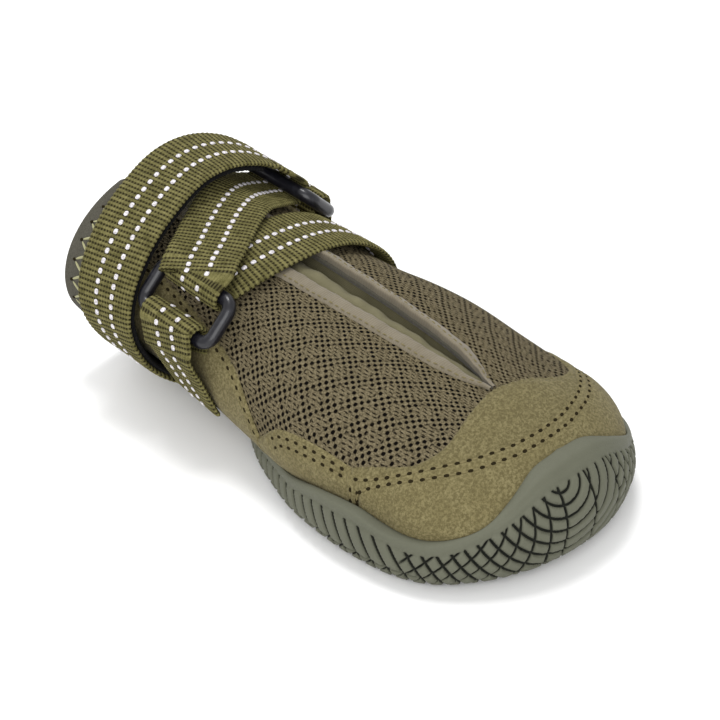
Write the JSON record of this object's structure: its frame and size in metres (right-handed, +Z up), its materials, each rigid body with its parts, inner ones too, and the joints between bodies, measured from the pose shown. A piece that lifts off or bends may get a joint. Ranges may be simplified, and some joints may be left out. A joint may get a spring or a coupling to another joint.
{
  "type": "dog_boot",
  "caption": "Dog boot in olive mesh and suede-like cloth with a grey-green lugged rubber cup sole, two plastic loops and one hook-and-loop webbing strap.",
  "frame": {"origin": "On the ground under the middle of the forefoot, where the sole's flat tread rests.", "axes": "+Z up, the toe points along -Y, the wearer's left is +X."},
  "size_m": [0.0772, 0.1487, 0.0584],
  "materials": {
    "sole_rubber": "matt grey-green moulded rubber with a lugged tread",
    "insole_foam": "thin foam faced with cloth",
    "upper_cloth": "olive air mesh with suede-like olive-tan overlays and double rows of stitches",
    "gusset_cloth": "olive stretch cloth with flat edge tapes",
    "collar_cloth": "dark grey-olive padded cloth with zigzag stitch",
    "webbing": "olive ribbed webbing with two rows of pale reflective dashes",
    "hook_tape": "black hook-and-loop tape",
    "loop_plastic": "black moulded plastic, slightly shiny"
  },
  "bodies": {
    "root": {"outsole": "sole_rubber", "insole": "insole_foam", "upper": "upper_cloth", "gusset": "gusset_cloth", "collar_band": "collar_cloth", "strap_lower": "webbing", "strap_middle": "webbing", "strap_upper": "webbing", "anchor_right": "webbing", "anchor_left": "webbing", "hook_patch": "hook_tape", "loop_right": "loop_plastic", "loop_left": "loop_plastic"}
  },
  "joints": []
}
